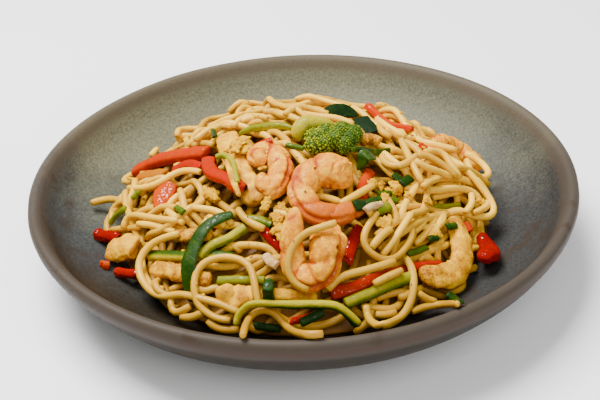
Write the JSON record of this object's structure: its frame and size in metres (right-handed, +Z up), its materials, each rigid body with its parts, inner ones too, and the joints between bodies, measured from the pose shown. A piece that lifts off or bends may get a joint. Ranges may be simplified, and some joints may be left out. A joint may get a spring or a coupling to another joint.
{
  "type": "bowl of stir-fried noodles",
  "caption": "Shallow round stoneware bowl heaped with stir-fried noodles, prawns, chicken, red pepper, broccoli and greens.",
  "frame": {"origin": "centre of the bowl's round foot, on the surface it stands on", "axes": "+Z up, -Y towards the viewer of the picture, +X to the viewer's right"},
  "size_m": [0.263, 0.263, 0.0685],
  "materials": {
    "glaze": "satin speckled slate glaze, beige at the back",
    "noodle": "soft oiled wheat noodle",
    "prawn": "cooked prawn, moist",
    "chicken": "fried chicken, lightly browned",
    "pepper": "glossy red pepper skin",
    "green": "cooked green vegetable, moist",
    "onion": "translucent cooked onion",
    "egg": "crumbled fried egg"
  },
  "bodies": {
    "root": {"bowl": "glaze", "noodles": "noodle", "prawn_left": "prawn", "prawn_middle": "prawn", "prawn_front": "prawn", "prawn_right": "prawn", "chicken_long": "chicken", "chicken_left": "chicken", "chicken_golden": "chicken", "chicken_brown": "chicken", "chicken_front": "chicken", "chicken_shred": "chicken", "chicken_curled": "chicken", "pepper_back_left": "pepper", "pepper_arch": "pepper", "pepper_orange": "pepper", "pepper_curl": "pepper", "pepper_hanging": "pepper", "pepper_left": "pepper", "pepper_low_left": "pepper", "pepper_thin": "pepper", "pepper_back": "pepper", "pepper_centre": "pepper", "pepper_middle": "pepper", "pepper_dark": "pepper", "pepper_right": "pepper", "pepper_front": "pepper", "pepper_tip": "pepper", "broccoli": "green", "courgette_left": "green", "courgette_front": "green", "onion_left": "onion", "onion_centre": "onion", "green_curved": "green", "green_hook": "green", "green_upright": "green", "green_light": "green", "green_back": "green", "green_on_chicken": "green", "green_dark": "green", "green_low": "green", "leaf_back": "green", "leaf_upright": "green", "leaf_centre": "green", "stalk_back": "green", "celery_strip": "green", "celery_right": "green", "celery_front": "green", "olive_strip": "green", "egg_on_chicken": "egg", "egg_left": "egg", "egg_centre": "egg", "egg_low": "egg", "egg_right": "egg"}
  },
  "joints": []
}
